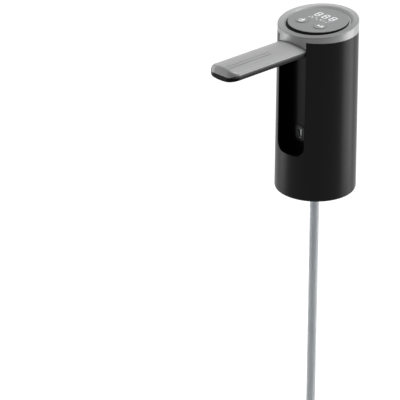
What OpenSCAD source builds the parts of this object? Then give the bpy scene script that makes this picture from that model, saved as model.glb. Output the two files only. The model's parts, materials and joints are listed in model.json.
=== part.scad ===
// Electric pump that sits on the neck of a large water jug.
// Millimetres, +Z up, spout towards -Y, origin on the neck axis at the foot of the body.

/* [Body shell] */
// Diameter of the shell at the cap seam
body_top_d = 69; // [63:0.5:76]
// How far the shell's foot stands out beyond its top
body_flare = 1; // [0:0.1:2]
// Height of the cap seam above the foot
body_h = 145.6; // [132:0.2:164]
// Wall of the shell at the cap seam
shell_wall = 1.8; // [1.4:0.1:2.2]
// Height of the foot flange under the shell
foot_h = 1; // [0.6:0.1:2]
// Set-back of the foot flange from the shell
foot_inset = 0.4; // [0:0.1:1]

/* [Neck socket] */
// Wall of the socket cup
cup_t = 2.9; // [2.2:0.1:3.4]
// Depth of the socket up to the rim gasket
neck_depth = 32; // [26:0.5:36]
// Wall of the silicone sleeve
sleeve_t = 1.2; // [0.8:0.1:1.6]
// Height of the grip ribs
rib_h = 0.55; // [0.3:0.05:0.8]
// Width of a grip rib
rib_w = 1.6; // [1:0.1:3]
// Number of grip ribs
rib_count = 3; // [2:1:5]
// Thickness of the rim gasket
seat_t = 2; // [1:0.1:3]
// Inner radius of the rim gasket
seat_in_r = 20; // [18:0.5:22]
// Thickness of the socket roof
roof_t = 4; // [3.6:0.1:6]

/* [Cap and panel] */
// Height of the cap on the body axis
cap_h = 7.5; // [7:0.1:12]
// Slope of the cap top towards the spout, degrees
cap_tilt = 5.3; // [0:0.1:6]
// Slope of the control panel towards the spout, degrees
panel_tilt = 2.6; // [0:0.1:5]
// Chamfer round the cap top
cap_chamfer = 0.7; // [0.3:0.1:1.2]
// Wall of the lip that plugs into the shell
lip_t = 1.6; // [1:0.1:2]
// Depth of the lip inside the shell
lip_h = 3.5; // [2:0.5:5]
// Width of the cap's flat rim
rim_w = 6.7; // [5.9:0.1:7.4]
// Thickness of the control panel
panel_t = 2.2; // [1.8:0.1:2.6]
// Rise of the panel above the cap top, on the body axis
panel_rise = 0.3; // [0:0.1:1]
// Width of the groove round the panel
groove_w = 1.8; // [1:0.1:2]
// Thickness of the panel gasket
gasket_t = 0.6; // [0.4:0.1:0.8]
// Thickness of the ledge that carries the panel
ledge_t = 2; // [1.8:0.1:2.2]
// Width of that ledge
ledge_run = 6; // [5:0.1:6.4]

/* [Keys and display] */
// Diameter of a key
key_d = 11; // [9:0.5:12]
// Gap round a key
key_gap = 0.25; // [0.2:0.05:0.4]
// Height of a key above the panel
key_rise = 0.5; // [0.3:0.1:0.8]
// Travel of a key
key_travel = 0.5; // [0.3:0.05:0.6]
// Place of each key beside the middle line, as a share of the panel's radius
key_side = 0.39; // [0.37:0.005:0.41]
// Place of the keys in front of the panel centre, as a share of the panel's radius
key_front = 0.345; // [0.32:0.005:0.36]
// Height of a digit
digit_h = 8; // [6:0.2:8.4]
// Width of a digit
digit_w = 5.2; // [4.2:0.1:5.4]
// Distance between digits
digit_pitch = 8.2; // [7.4:0.1:8.4]
// Width of a digit stroke
stroke_w = 0.9; // [0.6:0.05:1]
// Place of the digits behind the panel centre, as a share of the panel's radius
digit_back = 0.36; // [0.34:0.005:0.38]
// Thickness of the boards
board_t = 1.2; // [1:0.1:1.6]
// Depth of the display module behind the panel
module_t = 3.6; // [3.4:0.1:5]

/* [Spout recess] */
// Width of the recess
bay_w = 31; // [28:0.5:32]
// Height of the recess floor above the socket roof
bay_foot = 2; // [1.5:0.1:6]
// Radius of the lower corners of the recess
bay_corner_r = 9; // [5:0.5:12]
// Wall of the recess tray
bay_wall = 1.6; // [1.2:0.1:1.8]
// Height of the grey apron over the middle of the spout
apron_h = 2.9; // [2.5:0.1:5]
// Thickness of the apron
apron_t = 2; // [1.5:0.1:2.2]

/* [Hinge] */
// Distance of the hinge axis inside the shell's front
hinge_inset = 9; // [8.6:0.1:10]
// Radius from the hinge axis to the spout's top
hinge_r = 8.2; // [8:0.1:8.6]
// Outside diameter of the hollow hinge tube
tube_d = 6; // [5.6:0.1:6.2]
// Wall of the hinge tube
tube_wall = 0.7; // [0.5:0.1:0.9]
// Half length of the fixed knuckle
knuckle_half = 7; // [6:0.5:8]
// Wall of the knuckles round the tube
knuckle_wall = 1.6; // [1.4:0.1:1.7]
// Section diameter of the hinge seals
seal_d = 0.9; // [0.7:0.05:1]

/* [Spout] */
// Rise of the raised spout above level, degrees
spout_rise = 1.1; // [0:0.1:2]
// Gap under the tip of the folded spout
tip_gap = 3.1; // [3:0.1:12]
// Gap beside the spout
side_gap = 0.3; // [0.3:0.05:0.6]
// Height of the grey cover's sides
cover_edge = 1.7; // [1.3:0.1:2]
// Drop of the cover's nose below its sides
nose_drop = 1.7; // [0.5:0.1:2.4]
// Length of the cover's nose
nose_l = 3; // [2:0.1:3.2]
// Thickness of the cover's top
cover_t = 1.6; // [1.2:0.1:1.7]
// Wall of the cover's skirt
skirt_t = 1.4; // [1:0.1:1.8]
// Chamfer along the cover's top edges
cover_chamfer = 1; // [0.3:0.1:1.1]
// Length of the sloping face at the tip
tip_slope = 2; // [1:0.1:3]
// Radius of the tip's corners
tip_corner = 8; // [5:0.5:9]
// Crown radius of the cover's top
crown_r = 36; // [34:0.5:60]
// Depth of the channel's belly below the hinge axis
belly_drop = 3.3; // [2.8:0.1:3.4]
// Radius of the channel's belly
belly_r = 54; // [44:0.5:80]
// Cut under the channel's tip
bow_cut = 0.9; // [0.8:0.1:2.6]
// Wall of the channel
channel_wall = 1.4; // [1:0.1:1.6]
// Width of the waterway in the channel
water_w = 22; // [16:0.5:23]
// Distance of the nozzle from the tip
nozzle_back = 10; // [8:0.5:20]
// Bore of the nozzle
nozzle_bore = 6; // [4:0.5:7]
// Height of the nozzle's lip
nozzle_lip = 1.35; // [1:0.05:2]
// Distance of each top line from the middle
line_x = 1.8; // [1:0.1:4]
// Width of a top line
line_w = 0.6; // [0.4:0.1:1]
// Depth of a top line
line_depth = 0.3; // [0.2:0.05:0.5]
// Length of the top lines
line_l = 50; // [20:1:60]

/* [Charging socket] */
// Height of the socket above the recess floor's end
port_up = 15.5; // [11:0.5:30]
// Width of the socket's bezel
bezel_w = 10; // [8:0.2:14]
// Height of the socket's bezel
bezel_h = 13.4; // [12:0.2:18]
// Thickness of the bezel's rim
bezel_rim = 0.5; // [0.4:0.1:0.5]
// Thickness of the socket shell
socket_t = 3.26; // [3:0.02:3.4]
// Height of the socket shell
socket_h = 8.94; // [8.4:0.02:9.2]
// Depth of the socket shell
socket_depth = 7.3; // [6:0.1:8]

/* [Pump and motor] */
// Distance between the gear axes
gear_pitch = 10.4; // [10.2:0.1:11.2]
// Tip radius of a pump gear
gear_tip_r = 5.8; // [5.5:0.05:5.8]
// Root radius of a pump gear
gear_root_r = 4; // [3.6:0.1:4.1]
// Width of a pump gear
gear_w = 5.6; // [4:0.2:7]
// Distance of the gear axes behind the neck axis
gear_y = 4.5; // [4:0.1:5]
// Wall of the pump round the gears
pump_wall = 3.5; // [3:0.1:4]
// Thickness of the pump cover
pump_cover_t = 5.5; // [5:0.1:7]
// Thickness of the pump gasket
pump_gasket_t = 0.5; // [0.3:0.1:0.8]
// Thickness of the pump housing above the gears
pump_top_t = 7; // [6.6:0.1:9]
// Bore of the water passages
water_bore = 3.6; // [3:0.1:4]
// Outside diameter of the outlet tube
line_od = 8; // [7:0.1:8.4]
// Bore of the outlet tube
line_id = 5; // [4.8:0.1:5.4]
// Distance of the outlet tube beside the middle line
outlet_x = 10; // [9:0.25:11]
// Length of the outlet barbs
barb_l = 8; // [6:0.5:12]
// Radius of the motor can
motor_r = 8.5; // [8:0.1:9.4]
// Length of the motor can
motor_l = 29; // [24:0.5:36]
// Wall of the motor can
motor_wall = 0.8; // [0.6:0.1:1]
// Diameter of the motor shaft
shaft_d = 2; // [1.6:0.1:2.4]
// Thickness of the motor's magnets
magnet_t = 1.8; // [1.2:0.1:2]
// Thickness of the motor's end cap
end_cap_t = 3; // [2:0.2:4]

/* [Battery and frame] */
// Diameter of the battery cell
cell_d = 18.4; // [17:0.1:18.6]
// Room over the control board, up to the cap seam
head_room = 18.2; // [16:0.2:24]
// Direction of the battery from the neck axis, degrees
cell_angle = 142; // [138:1:150]
// Wall of the battery cradle
cradle_t = 1.2; // [0.8:0.1:1.4]
// Radius of the frame columns
column_r = 4; // [3.4:0.1:4.2]
// Gap between the columns and the cap's lip
column_gap = 1.8; // [1:0.1:2.4]
// Thickness of the frame's plates
plate_t = 2; // [1.6:0.1:3]

/* [Hose] */
// Reach of the hose below the foot of the body
hose_drop = 372; // [300:4:420]
// Outside diameter of the hose
hose_d = 8; // [7:0.1:8.4]
// Bore of the hose
hose_bore = 6; // [5.6:0.1:6.2]
// Length of the inlet barb
inlet_barb_l = 14; // [8:0.5:18]
// Length of the hose foot
hose_foot_l = 16; // [10:0.5:24]
// Diameter of the hose foot
hose_foot_d = 10; // [9:0.1:12]

/* [Screws] */
// Thread diameter of the frame screws
screw_d = 2.4; // [2:0.1:2.6]
// Thread diameter of the small screws
small_screw_d = 2; // [1.6:0.1:2.2]
// Length of a screw below its head
screw_l = 8; // [6:0.5:10]

/* [Clearances] */
// Gap between pieces that are fitted together
slip = 0.1; // [0.05:0.01:0.15]
// Radial gap of a turning fit
run = 0.05; // [0.03:0.01:0.08]
// Gap between pieces that move past each other
air = 0.3; // [0.25:0.01:0.35]

/* [Hidden] */
$fn = 96;
eps = 0.01;
far = 400;

black = "#1a1b1d";
grey = "#a4a6a8";
steel = "#b9bcc0";
silicone = "#c9ccce";
green = "#1f5a3a";

// Body and socket
top_r = body_top_d / 2;
base_r = top_r + body_flare;
bore_r = top_r - shell_wall;
inner_r = bore_r - 2 * slip;
foot_r = base_r - foot_inset;
cup_in_r = inner_r - cup_t;
sleeve_out_r = cup_in_r - slip;
sleeve_in_r = sleeve_out_r - sleeve_t;
neck_r = sleeve_in_r - rib_h;
roof_z = neck_depth + seat_t;
deck_z = roof_z + roof_t;
hose_hole_r = hose_d / 2 + 1.5;

// Cap, in heights w above the panel's own plane on the body axis
cap_z = body_h + cap_h;
pocket_r = top_r - rim_w;
panel_r = pocket_r - groove_w;
panel_edge = 0.3;
ledge_in_r = pocket_r - ledge_run;
panel_low_w = panel_rise - panel_t;
ledge_w = panel_low_w - gasket_t;
ledge_low_w = ledge_w - ledge_t;
lip_in_r = inner_r - lip_t;
board_w = panel_low_w - module_t;
head_t = 1.2;
head_r = 0.85 * screw_d;
small_head_r = small_screw_d;
board_screw_d = 0.6 * small_screw_d;

// Keys and display
key_x = key_side * panel_r;
key_y = key_front * panel_r;
digit_y = digit_back * panel_r;
key_flange_t = 0.7;
key_flange_r = key_d / 2 + key_gap + 0.5;
switch_w = 6;
switch_t = 1.4;
plunger_t = module_t - switch_t - key_flange_t - 2 * air - key_travel;
plunger_r = 1.5;
digit_count = 3;
stroke_gap = 0.4;
window_t = 0.5;
module_edge = 0.9;
module_w = (digit_count - 1) * digit_pitch + digit_w + 2 * module_edge;
module_d = digit_h + 2 * module_edge;
board_screw_grip = 2;
post_x = ledge_in_r - 4.4;
post_y = 1.5;
post_r = 2;

// Recess and hinge
hinge_y = -(top_r - hinge_inset);
bay_bottom = deck_z + bay_foot;
apron_low = body_h - apron_h;
lip_gap = air + 0.1;
hinge_z = apron_low - lip_gap - hinge_r;
floor_gap = 0.8;
tube_r = tube_d / 2;
knuckle_r = tube_r + knuckle_wall;
floor_y = hinge_y + max(knuckle_r, belly_drop + run + nozzle_lip) + floor_gap;
bay_back = floor_y + bay_wall;
bay_half = bay_w / 2 + bay_wall;
bay_top = body_h - lip_h;
ear_h = 16;
hub_gap = air;
wrap_from = 50;

// Spout, about its hinge axis
spout_w = bay_w - 2 * side_gap;
spout_l = hinge_z - bay_bottom - tip_gap;
cover_low = crown_at(spout_w / 2) - cover_edge;
nose_low = cover_low - nose_drop;
nose_lip = 0.5;
wrap_in_r = knuckle_r + air;
tongue_y = wrap_in_r + slip;
belly_z = belly_r - belly_drop;
root_y = wrap_in_r + channel_wall;
seal_x = knuckle_half + hub_gap + 1;
chamber_x = seal_x + seal_d + 1;
plug_t = 1.5;
chamber_r = tube_r + seal_d;
passage_w = 2;
passage_h = 2.1;
passage_wall = 1;
nozzle_r = nozzle_bore / 2 + 1.1;

// Charging socket
port_z = bay_bottom + port_up;
bezel_corner = 3;
bezel_flange = 1;
board_x = socket_t / 2 + slip;
charge_board_h = 22;
charge_board_back = floor_y + socket_depth + 1;
lead_r = 0.5;

// Pump and motor
gear_x = gear_pitch / 2;
gasket_z = deck_z + pump_cover_t;
gear_z = gasket_z + pump_gasket_t;
gear_room = air / 2;
gear_top = gear_z + gear_w + 2 * gear_room;
pump_top = gear_top + pump_top_t;
cavity_r = gear_tip_r + air;
pump_r = cavity_r + pump_wall;
teeth = 12;
port_y = sqrt(max(cavity_r * cavity_r - gear_x * gear_x, 0)) + 0.7;
lug_r = small_head_r + 0.8;
lug_x = pump_r + 2;
lug_y = pump_r - lug_r - 0.3;
riser_r = water_bore / 2 + 0.2;
outlet_y = bay_back + line_od / 2 + 1.4;
barb_r = line_id / 2 - run;
passage_z = gear_top + pump_top_t / 2;
seal_r = 3.5;
seal_t = 2.4;
shaft_r = shaft_d / 2;
shaft_hole_r = shaft_r + run;
collar_t = 1.6;
collar_h = 6;
motor_top = pump_top + motor_l;
cap_top = motor_top + end_cap_t;
rotor_r = motor_r - motor_wall - magnet_t - 2 * air;
bush_r = 3;

// Water line to the hinge
line_z0 = pump_top;
neck_pipe_r = riser_r + 1.2;
block_low = hinge_z - knuckle_r;
lead_bend_z = block_low - 10;
line_z1 = block_low - 1;
block_half = line_od / 2 + 0.4;

// Battery and frame
cell_r = cell_d / 2;
cell_pcd_r = inner_r - cell_r - 0.7;
column_pcd_r = inner_r - lip_t - column_r - column_gap;
display_r = column_pcd_r - column_r - air;
cell_x = cell_pcd_r * cos(cell_angle);
cell_y = cell_pcd_r * sin(cell_angle);
plate_in_r = norm([lug_x, gear_y + pump_r - lug_r]) + lug_r + air;
cell_z = pump_top + plate_t;
cell_l = body_h - head_room - board_t - plate_t - air - cell_z;
brace_z = cell_z + cell_l + air;
ear_z = brace_z - ear_h - 4;
bay_screw_x = bay_half + small_head_r + 1.2;
ear_x = bay_screw_x + small_head_r + 1;
board_z = brace_z + plate_t;
board_r = column_pcd_r - 1.6;
brace_in_r = board_r - 6;
plate_front = -12;
brace_front = outlet_y + block_half + air;
column_angles = [-15, 65, 195];
rib_t = 2.4;

// Hose
hose_r = hose_d / 2;
hose_top = deck_z - 1;
hose_sides = 12;
hose_barb_r = hose_bore / 2 - slip;
hose_end = -hose_drop;
hose_steps = 20;
hose_step = (hose_end - hose_top) / hose_steps;

function arc(c, r, a0, a1, n = 10) =
    [for (i = [0 : n]) c + r * [cos(a0 + (a1 - a0) * i / n), sin(a0 + (a1 - a0) * i / n)]];

function column_at(i) = column_pcd_r * [cos(column_angles[i]), sin(column_angles[i])];

// Height of the spout's crown over the hinge axis, at x from the middle
function crown_at(x) = hinge_r - crown_r + sqrt(crown_r * crown_r - x * x);

// Index of a hose point: ring k, wall 0 outside or 1 inside, side i
function at(k, wall, i) = (2 * k + wall) * hose_sides + (i % hose_sides);

// Outline with round lower corners, from z0 up to z1
module slot_outline(w, z0, z1, r) {
    left = arc([-w / 2 + r, z0 + r], r, 180, 270);
    right = arc([w / 2 - r, z0 + r], r, 270, 360);
    polygon(concat([[-w / 2, z1]], left, right, [[w / 2, z1]]));
}

// Outline with four round corners about the origin
module round_outline(w, h, r) {
    corners = [[1, 1, 0], [-1, 1, 90], [-1, -1, 180], [1, -1, 270]];
    polygon([for (k = corners) each arc([k[0] * (w / 2 - r), k[1] * (h / 2 - r)], r, k[2], k[2] + 90, 6)]);
}

module box(x0, x1, y0, y1, z0, z1) {
    translate([x0, y0, z0]) cube([x1 - x0, y1 - y0, z1 - z0]);
}

module disc(r, z0, z1) {
    translate([0, 0, z0]) cylinder(h = z1 - z0, r = r);
}

module ring(r_in, r_out, z0, z1) {
    difference() {
        disc(r_out, z0, z1);
        disc(r_in, z0 - 1, z1 + 1);
    }
}

module rod_x(r, x0, x1) {
    translate([x0, 0, 0]) rotate([0, 90, 0]) cylinder(h = x1 - x0, r = r);
}

module rod_y(r, y0, y1) {
    translate([0, y0, 0]) rotate([-90, 0, 0]) cylinder(h = y1 - y0, r = r);
}

// Extrudes an x-z outline along Y
module along_y(y0, y1) {
    translate([0, y1, 0]) rotate([90, 0, 0]) linear_extrude(height = y1 - y0) children();
}

// Extrudes a y-z outline along X, both ways from the middle
module along_x(l) {
    rotate([90, 0, 90]) linear_extrude(height = l, center = true) children();
}

// Puts the cap's sloping top plane at z = 0
module on_cap() {
    translate([0, 0, cap_z]) rotate([cap_tilt, 0, 0]) children();
}

// Puts the panel's plane at z = 0
module on_panel() {
    translate([0, 0, cap_z]) rotate([panel_tilt, 0, 0]) children();
}

// Keeps what lies below height w over the panel's plane
module below_panel(w) {
    intersection() {
        children();
        on_panel() translate([-far, -far, w - 2 * far]) cube(2 * far);
    }
}

// Puts the hinge axis of the raised spout at the origin
module on_hinge() {
    translate([0, hinge_y, hinge_z]) rotate([-spout_rise, 0, 0]) children();
}

// Pan-head screw along +Z, with the underside of its head at z = 0
module screw(d, l, r_head) {
    disc(r_head, -head_t, 0);
    disc(d / 2, -eps, l);
}

module body_shell() color(black) difference() {
    slope = (top_r - base_r) / body_h;
    translate([0, 0, foot_h]) cylinder(h = body_h - foot_h, r1 = base_r + slope * foot_h, r2 = top_r);
    disc(bore_r, 0, body_h + 1);
    along_y(-far, 0) slot_outline(bay_w, bay_bottom, body_h + 1, bay_corner_r);
}

// Apron over the spout, arched along its crown
module apron() {
    difference() {
        intersection() {
            ring(top_r - apron_t, top_r, hinge_z, body_h + ledge_t);
            box(-spout_w / 2, spout_w / 2, -far, 0, 0, far);
        }
        on_hinge() under_crown(-lip_gap);
    }
}

module ring_lip() {
    difference() {
        ring(lip_in_r, inner_r, body_h - lip_h, body_h + 1);
        box(-bay_half - air, bay_half + air, -far, 0, 0, body_h);
    }
}

module top_ring() color(grey) difference() {
    union() {
        intersection() {
            disc(top_r, body_h, cap_z + far / 10);
            on_cap() translate([0, 0, -far / 10])
                cylinder(h = far / 10, r1 = top_r + far / 10 - cap_chamfer, r2 = top_r - cap_chamfer);
        }
        ring_lip();
        apron();
    }
    on_panel() disc(pocket_r, ledge_w, far);
    on_panel() disc(ledge_in_r, -far / 10, far);
    below_panel(ledge_low_w) disc(lip_in_r, 0, far);
    for (i = [0 : 2]) on_panel() translate(column_at(i)) {
        disc(screw_d / 2 + slip, ledge_low_w - 1, ledge_w);
        disc(head_r + slip, ledge_w - head_t - slip, far);
    }
}

// Seven strokes of one digit, widened by grow
module strokes(grow) {
    run_x = digit_w - stroke_w;
    run_y = (digit_h - stroke_w) / 2;
    bar_x = run_x - stroke_w - stroke_gap + 2 * grow;
    bar_y = run_y - stroke_w - stroke_gap + 2 * grow;
    bar_w = stroke_w + 2 * grow;
    for (j = [-1 : 1]) translate([0, j * run_y]) square([bar_x, bar_w], center = true);
    for (i = [-1, 1], j = [-1, 1])
        translate([i * run_x / 2, j * run_y / 2]) square([bar_w, bar_y], center = true);
}

module digits(grow, w0, w1) {
    middle = (digit_count - 1) / 2;
    for (i = [0 : digit_count - 1])
        translate([(i - middle) * digit_pitch, digit_y, w0]) linear_extrude(height = w1 - w0) strokes(grow);
}

module digit_windows() color("white") on_panel() digits(0, panel_rise - window_t, panel_rise - eps);

module touch_panel() color(grey) on_panel() difference() {
    union() {
        disc(panel_r, panel_low_w, panel_rise - panel_edge);
        translate([0, 0, panel_rise - panel_edge])
            cylinder(h = panel_edge, r1 = panel_r, r2 = panel_r - panel_edge);
        for (s = [-1, 1]) translate([s * post_x, post_y, 0]) disc(post_r, board_w, 0);
    }
    for (s = [-1, 1]) {
        translate([s * key_x, -key_y, 0]) disc(key_d / 2 + key_gap, -far, far);
        translate([s * post_x, post_y, 0]) disc(board_screw_d / 2 + slip, -far, 0);
    }
    digits(run, panel_rise - window_t, far);
}

module panel_gasket() color("#202020") on_panel()
    ring(ledge_in_r + 0.4, pocket_r - 2 * slip, ledge_w, panel_low_w);

module display_module() color("#e8e8e8") on_panel()
    translate([-module_w / 2, digit_y - module_d / 2, board_w]) cube([module_w, module_d, module_t]);

module display_board() color(green) on_panel() difference() {
    disc(display_r, board_w - board_t, board_w);
    for (s = [-1, 1]) translate([s * post_x, post_y, 0]) disc(board_screw_d / 2 + slip, -far, far);
}

module board_screws() color(steel) on_panel()
    for (s = [-1, 1]) translate([s * post_x, post_y, board_w - board_t])
        screw(board_screw_d, board_t + board_screw_grip, small_head_r);

module key_switches() color("#2a2a2c") on_panel()
    for (s = [-1, 1]) translate([s * key_x, -key_y, board_w]) {
        translate([-switch_w / 2, -switch_w / 2, 0]) cube([switch_w, switch_w, switch_t]);
        disc(plunger_r, switch_t - eps, switch_t + plunger_t);
    }

module key(side) color("#b2b4b6") on_panel() translate([side * key_x, -key_y, 0]) {
    r = key_d / 2;
    edge = 0.35;
    top = panel_rise + key_rise;
    disc(key_flange_r, panel_low_w - air - key_flange_t, panel_low_w - air);
    disc(r, panel_low_w - air - eps, top - edge);
    translate([0, 0, top - edge - eps]) cylinder(h = edge + eps, r1 = r, r2 = r - edge);
}

module left_key() key(-1);

module right_key() key(1);

module cap_screws() color(steel)
    for (i = [0 : 2]) on_panel() translate(column_at(i)) translate([0, 0, ledge_w - head_t])
        mirror([0, 0, 1]) screw(screw_d, screw_l, head_r);

module bay_ear(s) {
    x0 = s > 0 ? bay_half - 1 : -ear_x;
    box(x0, x0 + ear_x - bay_half + 1, bay_back - bay_wall, bay_back, ear_z, ear_z + ear_h);
}

module bay_screw_places() {
    for (s = [-1, 1]) translate([s * bay_screw_x, bay_back - bay_wall, ear_z + ear_h / 2])
        rotate([-90, 0, 0]) children();
}

module spout_bay() color(black) difference() {
    intersection() {
        union() {
            box(-bay_half, bay_half, -far, bay_back, deck_z, bay_top);
            for (s = [-1, 1]) bay_ear(s);
        }
        disc(bore_r - slip, 0, far);
    }
    along_y(-far, floor_y) slot_outline(bay_w, bay_bottom, body_h + 1, bay_corner_r);
    translate([0, 0, hinge_z]) rod_y(neck_pipe_r + slip, floor_y - 1, far);
    translate([0, 0, port_z]) along_y(floor_y - 1, far)
        round_outline(bezel_w - 2 * bezel_flange, bezel_h - 2 * bezel_flange, bezel_corner - bezel_flange);
    bay_screw_places() disc(small_screw_d / 2 + slip, -1, bay_wall + 1);
}

module bay_screws() color(steel) bay_screw_places() screw(small_screw_d, screw_l, small_head_r);

module port_bezel() color("#26282a") difference() {
    plug_in = bezel_flange + slip;
    translate([0, 0, port_z]) union() {
        along_y(floor_y - bezel_rim, floor_y) round_outline(bezel_w, bezel_h, bezel_corner);
        along_y(floor_y - eps, bay_back)
            round_outline(bezel_w - 2 * plug_in, bezel_h - 2 * plug_in, bezel_corner - bezel_flange);
    }
    translate([0, 0, port_z]) along_y(-far, far)
        round_outline(socket_t + 2 * slip, socket_h + 2 * slip, socket_t / 2);
}

module charge_socket() color(steel) difference() {
    wall = 0.3;
    tongue = 0.35;
    translate([0, 0, port_z]) along_y(floor_y, floor_y + socket_depth)
        round_outline(socket_t, socket_h, socket_t / 2 - eps);
    difference() {
        translate([0, 0, port_z]) along_y(floor_y - 1, floor_y + socket_depth - 1)
            round_outline(socket_t - 2 * wall, socket_h - 2 * wall, socket_t / 2 - wall - eps);
        box(-tongue, tongue, floor_y + 1, far, port_z - socket_h / 3, port_z + socket_h / 3);
    }
}

module charge_board() color(green) translate([0, 0, port_z])
    box(board_x, board_x + board_t, bay_back, charge_board_back, -charge_board_h / 2, charge_board_h / 2);

module charge_lead(x) {
    y0 = charge_board_back - 1.5;
    y1 = brace_front + 1.5;
    translate([x, y0, 0]) disc(lead_r, port_z + charge_board_h / 2, lead_bend_z);
    translate([x, 0, lead_bend_z]) rod_y(lead_r, y0, y1);
    translate([x, y1, 0]) disc(lead_r, lead_bend_z, board_z);
    for (y = [y0, y1]) translate([x, y, lead_bend_z]) sphere(lead_r + eps);
}

module charge_leads() color("#b03030") for (s = [-1, 1]) charge_lead(board_x + board_t / 2 + s * 1.2);

// C-shaped plate that joins the columns, open towards the recess
module c_plate(r_in, z, front) {
    difference() {
        ring(r_in, inner_r - slip, z, z + plate_t);
        box(-far, far, -far, front, z - 1, z + plate_t + 1);
    }
}

module main_chassis() color("#3a3c40") difference() {
    union() {
        for (i = [0 : 2]) below_panel(ledge_low_w) translate(column_at(i)) disc(column_r, deck_z, far);
        c_plate(plate_in_r, deck_z, plate_front);
        c_plate(plate_in_r, pump_top, plate_front / 2);
        c_plate(brace_in_r, brace_z, brace_front);
        for (s = [-1, 1]) {
            x0 = bay_screw_x - rib_t;
            column = column_at(0);
            translate([s > 0 ? x0 : -column[0], bay_back, ear_z])
                cube([column[0] - x0, column[1] - bay_back, ear_h]);
        }
    }
    for (i = [0 : 2]) {
        translate(column_at(i)) disc(screw_d / 2 + slip / 2, deck_z - 1, deck_z + screw_l + 1);
        on_panel() translate(column_at(i))
            disc(screw_d / 2 + slip / 2, ledge_low_w - screw_l - 1, ledge_low_w + 1);
    }
    bay_screw_places() disc(small_screw_d / 2 + slip / 2, 0, screw_l + 1);
    translate([cell_x, cell_y, 0]) disc(cell_r - 1, brace_z - 1, brace_z + plate_t + 1);
}

module neck_cup() color("#242628") difference() {
    union() {
        disc(foot_r, 0, foot_h);
        disc(inner_r, 0, deck_z);
    }
    disc(cup_in_r, -1, roof_z);
    disc(hose_hole_r, 0, far);
    for (i = [0 : 2]) translate(column_at(i)) {
        disc(screw_d / 2 + slip, 0, far);
        disc(head_r + slip, 0, roof_z + head_t + slip);
    }
    pump_screw_places() {
        disc(small_screw_d / 2 + slip, 0, far);
        disc(small_head_r + slip, 0, roof_z + head_t + slip);
    }
}

module neck_sleeve() color(silicone) {
    pitch = neck_depth / (rib_count + 1);
    ring(sleeve_in_r, sleeve_out_r, 0, roof_z);
    for (i = [1 : rib_count]) ring(neck_r, sleeve_in_r + eps, i * pitch - rib_w / 2, i * pitch + rib_w / 2);
}

module rim_gasket() color(silicone) ring(seat_in_r, neck_r - air, neck_depth, roof_z);

module base_screws() color(steel)
    for (i = [0 : 2]) translate(column_at(i)) translate([0, 0, roof_z + head_t])
        screw(screw_d, roof_t - head_t + screw_l, head_r);

// Block of the pump round both gears, with a screw in each corner
module pump_body(z0, z1) {
    translate([0, gear_y, z0]) linear_extrude(height = z1 - z0)
        round_outline(2 * (lug_x + lug_r), 2 * pump_r, lug_r);
}

module pump_screw_places() {
    for (s = [-1, 1], t = [-1, 1]) translate([s * lug_x, gear_y + t * lug_y, 0]) children();
}

module gear_wells(r, z0, z1) {
    for (s = [-1, 1]) translate([s * gear_x, gear_y, 0]) disc(r, z0, z1);
}

module pump_cover() color("#2c2e31") difference() {
    channel_z = deck_z + pump_cover_t / 2;
    union() {
        pump_body(deck_z, gasket_z);
        disc(hose_r + 0.4, hose_top, deck_z + 1);
        disc(hose_barb_r, hose_top - inlet_barb_l, deck_z + 1);
    }
    disc(riser_r, 0, channel_z);
    translate([0, 0, channel_z]) rod_y(water_bore / 2, -water_bore / 4, gear_y + port_y);
    translate([0, gear_y + port_y, 0]) disc(riser_r, channel_z, far);
    translate([-gear_x, gear_y, 0]) disc(shaft_hole_r, gasket_z - 2, far);
    pump_screw_places() disc(small_screw_d / 2 + slip, 0, far);
}

module pump_gasket() color("#303030") difference() {
    pump_body(gasket_z, gear_z);
    gear_wells(cavity_r, 0, far);
    translate([-gear_x, gear_y - cavity_r / 2, 0]) cube([gear_pitch, cavity_r, far]);
    for (t = [-1, 1]) translate([0, gear_y + t * port_y, 0]) disc(riser_r, 0, far);
    pump_screw_places() disc(small_screw_d / 2 + slip, 0, far);
}

// Passage from the gears to the outlet barb
module outlet_passage(r) {
    start = [0, gear_y - port_y];
    end = [-outlet_x, outlet_y];
    step = end - start;
    translate([start[0], start[1], passage_z])
        rotate([0, 0, atan2(step[1], step[0])]) rod_x(r, 0, norm(step));
}

module pump_housing() color("#2c2e31") difference() {
    arm_r = pump_top_t / 2;
    union() {
        pump_body(gear_z, pump_top);
        translate([gear_x, gear_y, 0]) disc(motor_r + slip + collar_t, gear_top, pump_top + collar_h);
        intersection() {
            outlet_passage(arm_r + 0.6);
            box(-far, far, -far, far, gear_top, pump_top);
        }
        translate([-outlet_x, outlet_y, 0]) {
            disc(line_od / 2, gear_top, pump_top);
            disc(barb_r, pump_top - 1, pump_top + barb_l);
        }
    }
    translate([gear_x, gear_y, 0]) {
        disc(motor_r + slip, pump_top, far);
        disc(shaft_hole_r, 0, far);
        disc(seal_r + slip, pump_top - seal_t, far);
    }
    gear_wells(cavity_r, 0, gear_top);
    translate([-gear_x, gear_y, 0]) disc(shaft_hole_r, 0, gear_top + 3);
    translate([0, gear_y - port_y, 0]) disc(riser_r, 0, passage_z);
    outlet_passage(water_bore / 2);
    translate([-outlet_x, outlet_y, 0]) disc(riser_r, passage_z, far);
    pump_screw_places() disc(small_screw_d / 2 + slip / 2, 0, gear_z + screw_l);
}

module pump_screws() color(steel) pump_screw_places() translate([0, 0, roof_z + head_t])
    screw(small_screw_d, roof_t - head_t + pump_cover_t + screw_l - 1, small_head_r);

module shaft_seal() color("#101010") translate([gear_x, gear_y, 0])
    ring(shaft_r + run, seal_r, pump_top - seal_t, pump_top);

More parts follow.
